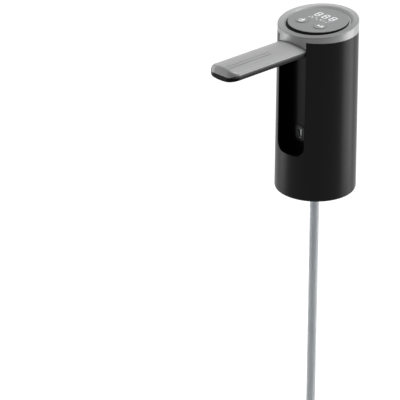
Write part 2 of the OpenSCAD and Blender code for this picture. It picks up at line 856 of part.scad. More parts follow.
// Pump gear with its first tooth towards +X, turned by start
module gear(start) {
    step = 360 / teeth;
    root_a = 9;
    tip_a = 3.2;
    corners = [[gear_root_r, -root_a], [gear_tip_r, -tip_a], [gear_tip_r, tip_a], [gear_root_r, root_a]];
    points = [for (i = [0 : teeth - 1], k = corners)
        k[0] * [cos(start + i * step + k[1]), sin(start + i * step + k[1])]];
    difference() {
        translate([0, 0, gear_z + gear_room]) linear_extrude(height = gear_w) polygon(points);
        disc(shaft_r + run / 2, 0, far);
    }
}

module drive_gear() color("#e6e2d4") translate([gear_x, gear_y, 0]) gear(0);

module idler_gear() color("#e6e2d4") translate([-gear_x, gear_y, 0]) difference() {
    gear(180 / teeth);
    disc(shaft_hole_r, 0, far);
}

module idler_pin() color(steel) translate([-gear_x, gear_y, 0]) disc(shaft_r, gasket_z - 2, gear_top + 3);

module motor_shaft() color(steel) translate([gear_x, gear_y, 0])
    disc(shaft_r, gear_z + gear_room, motor_top + end_cap_t / 2);

module motor_rotor() color("#7a5030") translate([gear_x, gear_y, 0]) difference() {
    low = pump_top + 5;
    high = motor_top - 4;
    union() {
        disc(rotor_r, low, high);
        disc(rotor_r / 2, high - 1, motor_top - 1);
    }
    disc(shaft_r + run / 2, 0, far);
    for (a = [0 : 120 : 240]) rotate(a) box(rotor_r * 0.55, far, -0.7, 0.7, low - 1, high + 1);
}

module motor_can() color("#9a9da1") translate([gear_x, gear_y, 0]) difference() {
    disc(motor_r, pump_top, motor_top);
    disc(motor_r - motor_wall, pump_top + motor_wall, far);
    disc(bush_r + slip, 0, far);
}

module motor_magnets() color("#3b3b3d") translate([gear_x, gear_y, 0]) difference() {
    outer = motor_r - motor_wall - slip;
    ring(outer - magnet_t, outer, pump_top + 4, motor_top - 4);
    box(-2, 2, -far, far, 0, far);
}

module motor_bushes() color("#b08d57") translate([gear_x, gear_y, 0])
    for (z = [pump_top, motor_top - 0.6]) ring(shaft_hole_r, bush_r, z, z + 2);

module motor_end_cap() color("#2b2b2b") translate([gear_x, gear_y, 0]) difference() {
    union() {
        disc(motor_r, motor_top, cap_top);
        disc(motor_r - motor_wall - slip, motor_top - 2, cap_top);
    }
    disc(bush_r + slip, 0, motor_top + 1.5);
    disc(rotor_r / 2 + 1, 0, motor_top - 0.6);
}

module motor_leads() color("#c03030")
    for (s = [-1, 1]) translate([gear_x + s * motor_r / 2, gear_y, 0]) disc(0.6, cap_top, board_z);

module battery_cell() color("#3c6fae") translate([cell_x, cell_y, 0]) {
    disc(cell_r, cell_z, cell_z + cell_l - 0.6);
    disc(cell_r / 3, cell_z + cell_l - 1, cell_z + cell_l);
}

module battery_cradle() color("#3a3c40") intersection() {
    translate([cell_x, cell_y, 0])
        ring(cell_r + slip, cell_r + slip + cradle_t, cell_z, cell_z + cell_l * 0.85);
    disc(inner_r - slip, 0, far);
}

module battery_leads() color("#c03030") translate([cell_x, cell_y, 0]) {
    disc(0.7, cell_z + cell_l, board_z);
    rotate(cell_angle + 180) translate([cell_r * 0.6, 0, 0]) disc(0.7, cell_z + cell_l - 0.6, board_z);
}

module control_board() color(green) difference() {
    disc(board_r, board_z, board_z + board_t);
    box(-far, far, -far, brace_front, 0, far);
    for (i = [0 : 2]) translate(column_at(i)) disc(column_r + air, 0, far);
}

module board_parts() color("#202022") {
    top = board_z + board_t;
    box(-4, 4, -3, 5, top, top + 1.2);
    box(8, 13, -4, 1, top, top + 3);
    box(-6, 6, 14, 17, top, top + 4);
    translate([-13, 4, 0]) disc(3, top, top + 6);
}

module display_ribbon() color("#b8863a") below_panel(board_w - board_t)
    box(-5, 5, 15.3, 15.6, board_z + board_t + 4, far);

module outlet_tube() color(silicone) translate([-outlet_x, outlet_y, 0])
    ring(line_id / 2, line_od / 2, line_z0, line_z1);

module hinge_manifold() color("#2c2e31") difference() {
    block_back = outlet_y + block_half;
    union() {
        box(-outlet_x - block_half, neck_pipe_r + 1, bay_back, block_back, block_low, hinge_z + knuckle_r);
        translate([0, 0, hinge_z]) rod_y(neck_pipe_r, hinge_y, bay_back + 1);
        translate([0, hinge_y, hinge_z]) rod_x(knuckle_r, -knuckle_half, knuckle_half);
        translate([-outlet_x, outlet_y, 0]) {
            disc(line_od / 2, line_z1, block_low + 1);
            disc(barb_r, line_z1 - barb_l, block_low + 1);
        }
    }
    translate([-outlet_x, outlet_y, 0]) disc(riser_r, 0, hinge_z);
    translate([0, outlet_y, hinge_z]) rod_x(water_bore / 2, -outlet_x - water_bore / 4, water_bore / 4);
    translate([0, 0, hinge_z]) rod_y(riser_r, hinge_y, outlet_y + water_bore / 4);
    translate([0, hinge_y, hinge_z]) rod_x(tube_r + eps, -far, far);
}

module hinge_tube() color(steel) translate([0, hinge_y, hinge_z]) difference() {
    rod_x(tube_r, -chamber_x - 1, chamber_x + 1);
    rod_x(tube_r - tube_wall, -far, far);
    rod_y(water_bore / 2, 0, far);
}

module hinge_seals() color("#101010") on_hinge() for (s = [-1, 1])
    translate([s * (seal_x + seal_d / 2), 0, 0]) rotate([0, 90, 0]) rotate_extrude()
        translate([tube_r + seal_d / 2 + run / 2, 0]) circle(seal_d / 2 - run, $fn = 24);

module hinge_plugs() color(black) on_hinge() for (s = [-1, 1])
    translate([s * (spout_w / 2 - plug_t / 2 - slip), 0, 0]) rod_x(chamber_r - eps, -plug_t / 2, plug_t / 2);

// Plan of the spout from y = 0 to its tip, drawn in by inset
module spout_plan(inset, z0, z1) {
    w = spout_w / 2 - inset;
    l = spout_l - inset;
    r = tip_corner - inset;
    left = arc([-w + r, -l + r], r, 180, 270);
    right = arc([w - r, -l + r], r, 270, 360);
    translate([0, 0, z0]) linear_extrude(height = z1 - z0)
        polygon(concat([[-w, 0]], left, right, [[w, 0]]));
}

// All that lies under the spout's crown, drawn in by inset
module under_crown(inset) {
    translate([0, 0, hinge_r - crown_r]) rod_y(crown_r - inset, -far, far, $fn = 360);
}

// All that lies above the channel's belly, drawn in by inset
module over_belly(inset) {
    translate([0, 0, belly_z]) rod_y(belly_r - inset, -far, 1, $fn = 360);
}

// Line where the cover meets the channel, from the tip to behind the nose
function nose_line() = [[-spout_l, nose_low], [-spout_l + nose_lip, nose_low], [-spout_l + nose_l, cover_low]];

module spout_channel() color(black) on_hinge() difference() {
    union() {
        intersection() {
            spout_plan(0, -belly_drop - 1, cover_low);
            over_belly(0);
            along_x(far) polygon(concat([[0, cover_low], [0, -far], [-spout_l + bow_cut, -belly_drop],
                [-spout_l, -belly_drop + bow_cut]], nose_line()));
        }
        intersection() {
            spout_plan(skirt_t + slip, cover_low - 1, far);
            box(-far, far, -spout_l + tip_slope + skirt_t, -tongue_y, -far, far);
            under_crown(cover_t + slip);
        }
        for (s = [-1, 1]) {
            x0 = s > 0 ? knuckle_half + hub_gap : -spout_w / 2;
            x1 = s > 0 ? chamber_x - passage_wall : -chamber_x - passage_w - passage_wall;
            rod_x(knuckle_r, x0, x0 + spout_w / 2 - knuckle_half - hub_gap);
            box(x1, x1 + passage_w + 2 * passage_wall, -root_y, 0, 0, passage_h + passage_wall);
        }
    }
    rod_x(knuckle_r + air, -knuckle_half - hub_gap, knuckle_half + hub_gap);
    intersection() {
        box(-water_w / 2, water_w / 2, -spout_l + tip_slope + skirt_t + 2, -root_y, -far, far);
        over_belly(channel_wall);
    }
    for (s = [-1, 1]) {
        x0 = s > 0 ? chamber_x : -chamber_x - passage_w;
        box(x0, x0 + passage_w, -root_y - passage_w, 0, 0, passage_h);
        x1 = s > 0 ? chamber_x : -far;
        rod_x(chamber_r, x1, x1 + far - chamber_x);
        translate([s * (seal_x + seal_d / 2), 0, 0]) rod_x(chamber_r, -seal_d / 2 - run, seal_d / 2 + run);
    }
    rod_x(tube_r + run, -far, far);
    translate([0, -spout_l + nozzle_back, 0]) disc(nozzle_r + slip / 2, -far, 0);
}

// Cross-section of the cover under its crown, with sloping shoulders
module cover_outline() {
    w = spout_w / 2;
    shoulder = crown_at(w) - cover_chamfer;
    rise = hinge_r;
    polygon([[-w, nose_low], [w, nose_low], [w, shoulder], [w - rise, shoulder + rise],
        [-w + rise, shoulder + rise], [-w, shoulder]]);
}

// Round end of the cover over the hinge, as thick at each x as the crown is high
module cover_wrap() {
    reach = 2 * hinge_r;
    w = spout_w / 2;
    steps = 16;
    edge = [for (i = [-steps : steps]) [crown_at(w * i / steps) - run, w * i / steps]];
    intersection() {
        rotate([0, 90, 0]) rotate_extrude() polygon(concat([[0, -w]], edge, [[0, w]]));
        along_x(far) polygon([[0, 0], [reach * cos(wrap_from), reach * sin(wrap_from)], [0, reach]]);
    }
}

module spout_cover() color(grey) on_hinge() difference() {
    tip = -spout_l;
    slope_end = tip + tip_slope * (hinge_r + 1 - nose_low) / (hinge_r - nose_low);
    union() {
        intersection() {
            along_y(-far, 0) cover_outline();
            spout_plan(0, 0, hinge_r + 2);
            along_x(far) polygon(concat([[0, cover_low], [0, hinge_r + 1], [slope_end, hinge_r + 1]],
                nose_line()));
            under_crown(0);
        }
        cover_wrap();
    }
    intersection() {
        spout_plan(skirt_t, 0, far);
        box(-far, far, tip + tip_slope + skirt_t - slip, 1, 0, far);
        under_crown(cover_t);
    }
    rod_x(wrap_in_r, -far, far);
    for (s = [-1, 1]) box(s * line_x - line_w / 2, s * line_x + line_w / 2, tip + tip_slope + 1.5,
        tip + tip_slope + 1.5 + line_l, hinge_r - line_depth, far);
}

module spout_nozzle() color("#3a3c3e") on_hinge() translate([0, -spout_l + nozzle_back, 0]) difference() {
    union() {
        disc(nozzle_r + 1, -belly_drop - run - nozzle_lip, -belly_drop - run);
        disc(nozzle_r, -belly_drop - run - eps, 0);
    }
    disc(nozzle_bore / 2, -far, far);
}

// Hollow tube along the route's points, each ring level
module suction_hose() color(silicone) {
    route = [for (k = [0 : hose_steps]) [0, 0, hose_top + k * hose_step]];
    last = hose_steps;
    n = hose_sides;
    inner = (hose_bore / 2) / cos(180 / n);
    ring_points = [for (p = route, r = [hose_r, inner], i = [0 : n - 1])
        p + r * [cos(360 * i / n), sin(360 * i / n), 0]];
    outer_faces = [for (k = [0 : last - 1], i = [0 : n - 1])
        each [[at(k, 0, i), at(k, 0, i + 1), at(k + 1, 0, i + 1)],
            [at(k, 0, i), at(k + 1, 0, i + 1), at(k + 1, 0, i)]]];
    inner_faces = [for (k = [0 : last - 1], i = [0 : n - 1])
        each [[at(k, 1, i), at(k + 1, 1, i + 1), at(k, 1, i + 1)],
            [at(k, 1, i), at(k + 1, 1, i), at(k + 1, 1, i + 1)]]];
    top_faces = [for (i = [0 : n - 1])
        each [[at(0, 0, i), at(0, 1, i), at(0, 1, i + 1)], [at(0, 0, i), at(0, 1, i + 1), at(0, 0, i + 1)]]];
    end_faces = [for (i = [0 : n - 1])
        each [[at(last, 0, i), at(last, 1, i + 1), at(last, 1, i)],
            [at(last, 0, i), at(last, 0, i + 1), at(last, 1, i + 1)]]];
    polyhedron(ring_points, concat(outer_faces, inner_faces, top_faces, end_faces));
}

module hose_foot() color("#d6d8da") difference() {
    low = hose_end - hose_foot_l;
    union() {
        disc(hose_barb_r, hose_end - 1, hose_end + 8);
        disc(hose_foot_d / 2, low, hose_end);
    }
    disc(hose_bore / 2 - 1, low - 1, hose_end + 9);
    for (a = [0 : 60 : 120]) rotate(a) box(-far, far, -0.9, 0.9, low - 1, low + hose_foot_l / 2);
}

body_shell();
top_ring();
touch_panel();
panel_gasket();
digit_windows();
display_module();
display_board();
board_screws();
key_switches();
left_key();
right_key();
cap_screws();
spout_bay();
bay_screws();
port_bezel();
charge_socket();
charge_board();
charge_leads();
main_chassis();
neck_cup();
neck_sleeve();
rim_gasket();
base_screws();
pump_cover();
pump_gasket();
pump_housing();
pump_screws();
shaft_seal();
drive_gear();
idler_gear();
idler_pin();
motor_shaft();
motor_rotor();
motor_can();
motor_magnets();
motor_bushes();
motor_end_cap();
motor_leads();
battery_cell();
battery_cradle();
battery_leads();
control_board();
board_parts();
display_ribbon();
outlet_tube();
hinge_manifold();
hinge_tube();
hinge_seals();
hinge_plugs();
spout_channel();
spout_cover();
spout_nozzle();
suction_hose();
hose_foot();
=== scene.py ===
import json
import math

import bmesh
import bpy
from mathutils import Matrix, Vector


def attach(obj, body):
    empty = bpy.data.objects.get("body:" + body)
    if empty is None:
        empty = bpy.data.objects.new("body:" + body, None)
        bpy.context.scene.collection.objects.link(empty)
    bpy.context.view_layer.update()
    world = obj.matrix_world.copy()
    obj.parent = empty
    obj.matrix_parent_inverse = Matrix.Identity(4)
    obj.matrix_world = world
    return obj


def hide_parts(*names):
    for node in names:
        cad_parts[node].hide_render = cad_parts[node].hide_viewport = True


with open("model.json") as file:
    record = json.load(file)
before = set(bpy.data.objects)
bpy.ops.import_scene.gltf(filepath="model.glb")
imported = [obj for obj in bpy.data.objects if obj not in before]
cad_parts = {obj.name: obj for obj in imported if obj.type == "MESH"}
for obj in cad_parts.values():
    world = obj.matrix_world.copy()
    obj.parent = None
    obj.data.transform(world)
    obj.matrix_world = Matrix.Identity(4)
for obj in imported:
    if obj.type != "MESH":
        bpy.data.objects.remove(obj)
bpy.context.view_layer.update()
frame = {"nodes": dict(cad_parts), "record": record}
nodes = frame["nodes"]
print("frame loaded, nodes:", len(nodes))

scene = bpy.context.scene
scene.view_settings.view_transform = "Standard"

# places to build on: the cap's sloping top, the panel's plane, the groove round the panel
# and the raised spout's hinge
topSpot = (0, 0, 0.1531)
capPlace = {"turn": 5.3, "spot": topSpot}
panelPlace = {"turn": 2.6, "spot": topSpot}
groovePlace = {"turn": 4.2, "spot": topSpot}
hingePlace = {"turn": -1.1, "spot": (0, -0.0255, 0.1341)}

camera = {
    "spot": (1.25164, -1.34825, 0.87343),
    "right": (0.69569, 0.71833, -0.00299),
    "up": (-0.31089, 0.30483, 0.90024),
    "back": (0.64758, -0.62536, 0.43539),
    "lens": 209.8,
    "sensor": 36,
    "far": 50,
}


def makeCamera():
    data = bpy.data.cameras.new("camera")
    data.lens = camera["lens"]
    data.sensor_width = camera["sensor"]
    data.clip_end = camera["far"]
    eye = bpy.data.objects.new("camera", data)
    scene.collection.objects.link(eye)
    turn = Matrix((camera["right"], camera["up"], camera["back"])).transposed()
    eye.matrix_world = Matrix.Translation(camera["spot"]) @ turn.to_4x4()
    scene.camera = eye


makeCamera()
print("camera set")


# tolerances for picking parts of a mesh
near = 1e-6
close = 1e-5
clear = 1e-4
mostlyUp = 0.9

# where cutting tools start or end, clear of what they cut
past = {"body": 0.06, "belowCap": 0.1, "aboveCap": 0.2, "cap": 0.03, "panel": 0.01, "spout": 0.04,
        "beyondTip": 0.12, "hinge": 0.03, "belowSpout": 0.02, "crown": 0.01}


# hand tools
def clearAll():
    if bpy.context.object and bpy.context.object.mode != "OBJECT":
        bpy.ops.object.mode_set(mode="OBJECT")
    bpy.ops.object.select_all(action="DESELECT")


def named(name):
    piece = bpy.context.object
    piece.name = name
    piece.data.name = name
    bpy.ops.object.transform_apply(location=True, rotation=True, scale=True)
    return piece


def startCircle(name, radius, z, sides, filled=True):
    clearAll()
    fill = "NGON" if filled else "NOTHING"
    bpy.ops.mesh.primitive_circle_add(vertices=sides, radius=radius, fill_type=fill, location=(0, 0, z))
    return named(name)


def startBlock(name, low, high):
    clearAll()
    middle = [(a + b) / 2 for a, b in zip(low, high)]
    bpy.ops.mesh.primitive_cube_add(size=1, location=middle, scale=[b - a for a, b in zip(low, high)])
    return named(name)


def only(piece):
    clearAll()
    piece.select_set(True)
    bpy.context.view_layer.objects.active = piece


def edit(piece, kind="FACE"):
    only(piece)
    bpy.ops.object.mode_set(mode="EDIT")
    bpy.ops.mesh.select_mode(type=kind)
    bpy.ops.mesh.select_all(action="DESELECT")


def done():
    bpy.ops.object.mode_set(mode="OBJECT")


def middleOf(part):
    return sum((v.co for v in part.verts), Vector()) / len(part.verts)


def acrossOf(v):
    return math.hypot(v.co.x, v.co.y)


def facesUp(face):
    return face.normal.z > mostlyUp


def slopesBeside(edge):
    return [face.normal.z for face in edge.link_faces]


def pick(piece, kind, test):
    bpy.ops.mesh.select_mode(type=kind)
    bpy.ops.mesh.select_all(action="DESELECT")
    mesh = bmesh.from_edit_mesh(piece.data)
    parts = {"FACE": mesh.faces, "EDGE": mesh.edges, "VERT": mesh.verts}[kind]
    for part in parts:
        if test(part):
            part.select = True
    mesh.select_flush_mode()
    bmesh.update_edit_mesh(piece.data)


def pickAll():
    bpy.ops.mesh.select_all(action="SELECT")


def extrude(x, y, z):
    bpy.ops.mesh.extrude_region_move(TRANSFORM_OT_translate={"value": (x, y, z)})


def slide(x, y, z):
    bpy.ops.transform.translate(value=(x, y, z))


def resize(factor):
    bpy.ops.transform.resize(value=(factor, factor, 1), center_override=(0, 0, 0))


def bevel(width, segments=3):
    bpy.ops.mesh.bevel(offset=width, segments=segments, affect="EDGES")


def fixNormals():
    bpy.ops.mesh.select_mode(type="FACE")
    pickAll()
    bpy.ops.mesh.remove_doubles(threshold=near)
    bpy.ops.mesh.normals_make_consistent(inside=False)


def apply(piece, modifier):
    only(piece)
    bpy.ops.object.modifier_apply(modifier=modifier.name)


def combine(piece, tool, how="DIFFERENCE"):
    cut = piece.modifiers.new("cut", "BOOLEAN")
    cut.operation = how
    cut.solver = "EXACT"
    cut.object = tool
    apply(piece, cut)
    bpy.data.objects.remove(tool)


def soften(piece, width, segments=3, angle=35):
    edge = piece.modifiers.new("soft", "BEVEL")
    edge.width = width
    edge.segments = segments
    edge.limit_method = "ANGLE"
    edge.angle_limit = math.radians(angle)
    apply(piece, edge)


def smooth(piece, angle=40):
    only(piece)
    bpy.ops.object.shade_smooth_by_angle(angle=math.radians(angle))
    weigh = piece.modifiers.new("weigh", "WEIGHTED_NORMAL")
    weigh.keep_sharp = True
    apply(piece, weigh)


def turned(piece, x=0, y=0, spot=(0, 0, 0)):
    only(piece)
    piece.rotation_euler = (math.radians(x), math.radians(y), 0)
    piece.location = spot
    bpy.ops.object.transform_apply(location=True, rotation=True, scale=True)
    return piece


def putOn(piece, place):
    return turned(piece, x=place["turn"], spot=place["spot"])


def settle(piece, body, slot, *stands):
    piece.data.materials.clear()
    piece.data.materials.append(finishes[slot])
    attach(piece, body)
    if stands:
        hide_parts(*stands)
    print("made", piece.name)


def joined(parts, name):
    clearAll()
    for part in parts:
        part.select_set(True)
    bpy.context.view_layer.objects.active = parts[0]
    bpy.ops.object.join()
    return named(name)


def copied(piece, name):
    twin = piece.copy()
    twin.data = piece.data.copy()
    twin.name = name
    scene.collection.objects.link(twin)
    return twin


def disc(name, radius, low, high, sides=180):
    # round plate from low to high, to shape further or to cut with
    plate = startCircle(name, radius, low, sides)
    edit(plate)
    pickAll()
    extrude(0, 0, high - low)
    fixNormals()
    done()
    return plate


def rodAcross(name, radius, left, right, sides=96):
    return turned(disc(name, radius, left, right, sides), y=90)


# finishes
class Wire:
    def __init__(self, tree, socket=None):
        self.tree = tree
        self.socket = socket

    def make(self, kind, settings=None, inputs=None, out=0):
        node = self.tree.nodes.new(kind)
        for key, value in (settings or {}).items():
            setattr(node, key, value)
        for key, value in (inputs or {}).items():
            if isinstance(value, Wire):
                self.tree.links.new(value.socket, node.inputs[key])
            else:
                node.inputs[key].default_value = value
        return Wire(self.tree, node.outputs[out] if node.outputs else None)

    def math(self, operation, a, b):
        return self.make("ShaderNodeMath", {"operation": operation}, {0: a, 1: b})

    def __add__(self, other):
        return self.math("ADD", self, other)

    def __radd__(self, other):
        return self.math("ADD", other, self)

    def __sub__(self, other):
        return self.math("SUBTRACT", self, other)

    def __rsub__(self, other):
        return self.math("SUBTRACT", other, self)

    def __mul__(self, other):
        return self.math("MULTIPLY", self, other)

    def __rmul__(self, other):
        return self.math("MULTIPLY", other, self)

    def noise(self, where, scale, detail=2.0):
        return self.make("ShaderNodeTexNoise", None, {"Vector": where, "Scale": scale, "Detail": detail})

    def stretch(self, where, scale):
        return self.make("ShaderNodeMapping", None, {"Vector": where, "Scale": scale})

    def blend(self, amount, first, second):
        return self.make("ShaderNodeMix", {"data_type": "RGBA"}, {0: amount, 6: first, 7: second}, 2)

    def bump(self, height, strength, depth):
        return self.make("ShaderNodeBump", None,
                         {"Height": height, "Strength": strength, "Distance": depth})

    def vector(self, operation, a, b=(0, 0, 0), out="Vector"):
        return self.make("ShaderNodeVectorMath", {"operation": operation}, {0: a, 1: b}, out)


def tone(colour):
    return (*colour, 1.0)


def darker(colour, factor):
    return tuple(c * factor for c in colour)


# short words for the shader's constant inputs
inputOf = {"shine": "Specular IOR Level", "metal": "Metallic", "through": "Transmission Weight",
           "index": "IOR", "glow": "Emission Strength", "rough": "Roughness"}
# height of the finest relief, by kind of surface
relief = {"grain": 0.00004, "brush": 0.00003, "spin": 0.00002}


class Finish:
    def __init__(self, name, constants):
        self.material = bpy.data.materials.new(name)
        self.material.use_nodes = True
        self.tree = self.material.node_tree
        self.shader = self.tree.nodes["Principled BSDF"]
        self.wire = Wire(self.tree)
        self.place = self.wire.make("ShaderNodeTexCoord", out="Object")
        for word, value in constants.items():
            self.shader.inputs[inputOf[word]].default_value = value

    def feed(self, socket, wire):
        self.tree.links.new(wire.socket, self.shader.inputs[socket])

    def above(self, place, low, high):
        # 0 to 1 across a height over a sloping plane
        lean = math.radians(place["turn"])
        arm = self.wire.vector("SUBTRACT", self.place, place["spot"])
        level = self.wire.vector("DOT_PRODUCT", arm, (0, -math.sin(lean), math.cos(lean)), "Value")
        return self.wire.make("ShaderNodeMapRange", {"interpolation_type": "SMOOTHSTEP"},
                              {"Value": level, "From Min": low, "From Max": high})


def mouldedFinish(name, light, dark, rough, spread=0.06, cloud=60, grain=2600, strength=0.1, **constants):
    made = Finish(name, constants)
    wire = made.wire
    clouds = wire.noise(made.place, cloud, 3.0)
    speck = wire.noise(made.place, grain, 2.0)
    made.feed("Base Color", wire.blend(clouds, tone(dark), tone(light)))
    made.feed("Roughness", rough + (speck - 0.5) * spread + (clouds - 0.5) * spread)
    made.feed("Normal", wire.bump(speck, strength, relief["grain"]))
    return made.material


def brushedFinish(name, light, dark, rough, stretch, spread=0.12, strength=0.12, cloud=45, share=0.75,
                  **constants):
    # streaks run along the axis with the smallest scale
    made = Finish(name, constants)
    wire = made.wire
    streak = wire.noise(wire.stretch(made.place, stretch), 1.0, 4.0)
    clouds = wire.noise(made.place, cloud, 2.0)
    amount = streak * share + clouds * (1 - share)
    made.feed("Base Color", wire.blend(amount, tone(dark), tone(light)))
    made.feed("Roughness", rough + (streak - 0.5) * spread)
    made.feed("Normal", wire.bump(streak, strength, relief["brush"]))
    return made.material


# painted sheen on the cap's top, its colour lighter on one side and darker on the other as if lit: its
# lighter side, its tones, and the heights that it fades in between
paintedSheen = {"toward": (-0.707, 0.707, 0), "low": 0.42, "high": 1.3, "fadeLow": -0.0012, "fadeHigh": -0.0003,
         "share": 0.85}


def spunLinesPaintedSheenFinish(name, light, dark, rough, place, lines=5200, spread=0.1, strength=0.06, **constants):
    # fine lines round the axis, and a painted sheen on the sloping top: lighter toward the back left, darker
    # toward the front right, in place of light
    made = Finish(name, constants)
    wire = made.wire
    flat = wire.vector("MULTIPLY", made.place, (1, 1, 0))
    reach = wire.vector("LENGTH", flat, out="Value")
    high = wire.vector("DOT_PRODUCT", made.place, (0, 0, 1), "Value")
    line = wire.make("ShaderNodeTexNoise", {"noise_dimensions": "1D"},
                     {"W": (reach + high) * lines, "Scale": 1.0, "Detail": 3.0})
    onTop = made.above(place, paintedSheen["fadeLow"], paintedSheen["fadeHigh"])
    # painted sheen: the top's colour goes from dark to light by direction round the axis, standing in for
    # how the light falls
    fan = wire.vector("DOT_PRODUCT", wire.vector("NORMALIZE", flat), paintedSheen["toward"], "Value")
    fan = wire.make("ShaderNodeMapRange", None, {"Value": fan, "From Min": -1.0})
    paintedSheenTone = wire.blend(fan, tone(darker(light, paintedSheen["low"])), tone(darker(light, paintedSheen["high"])))
    plain = wire.blend(line, tone(dark), tone(light))
    made.feed("Base Color", wire.blend(onTop * paintedSheen["share"], plain, paintedSheenTone))
    made.feed("Roughness", rough + (line - 0.5) * spread)
    made.feed("Normal", wire.bump(line, strength, relief["spin"]))
    return made.material


def turnedFinish(name, light, dark, rough, rings, spread=0.08, strength=0.08, cloud=200, share=0.6,
                 **constants):
    # fine rings along Z, as on turned or wound metal
    made = Finish(name, constants)
    wire = made.wire
    ring = wire.make("ShaderNodeTexWave", {"wave_type": "BANDS", "bands_direction": "Z"},
                     {"Vector": made.place, "Scale": rings, "Distortion": 1.5, "Detail": 2.0})
    clouds = wire.noise(made.place, cloud, 2.0)
    amount = ring * share + clouds * (1 - share)
    made.feed("Base Color", wire.blend(amount, tone(dark), tone(light)))
    made.feed("Roughness", rough + (clouds - 0.5) * spread)
    made.feed("Normal", wire.bump(ring, strength, relief["grain"]))
    return made.material


def paintedShadeBandFinish(name, light, dark, rough, band, place, low, high, cloud=60, spread=0.06, **constants):
    # dark plastic with a paler band along its upper edge; the band is painted shade, a dark grey standing in
    # for the grey cover's side as it looks in shade
    made = Finish(name, constants)
    wire = made.wire
    clouds = wire.noise(made.place, cloud, 3.0)
    plain = wire.blend(clouds, tone(dark), tone(light))
    made.feed("Base Color", wire.blend(made.above(place, low, high), plain, tone(band)))
    made.feed("Roughness", rough + (clouds - 0.5) * spread)
    return made.material


def boardFinish(name, mask, trace, rough, grid=260.0, width=0.02, cloud=300, spread=0.1, share=0.2):
    # a net of traces in the solder mask
    made = Finish(name, {"shine": 0.5})
    wire = made.wire
    lines = wire.make("ShaderNodeTexBrick", {"offset": 0.5},
                      {"Vector": made.place, "Scale": grid, "Mortar Size": width, "Color1": tone(mask),
                       "Color2": tone(mask), "Mortar": tone(trace)}, "Color")
    clouds = wire.noise(made.place, cloud, 2.0)
    made.feed("Base Color", wire.blend(clouds * share, lines, tone(mask)))
    made.feed("Roughness", rough + (clouds - 0.5) * spread)
    return made.material


def litFinish(name, colour, glow, rough=0.4, cloud=900, shading=0.92):
    made = Finish(name, {"glow": glow, "rough": rough})
    wire = made.wire
    clouds = wire.noise(made.place, cloud, 2.0)
    shade = darker(colour, shading)
    made.feed("Base Color", wire.blend(clouds, tone(shade), tone(colour)))
    made.feed("Emission Color", wire.blend(clouds, tone(shade), tone(colour)))
    return made.material


greys = {"panel": (0.288, 0.29, 0.293), "cap": (0.43, 0.432, 0.435), "spout": (0.43, 0.431, 0.433)}

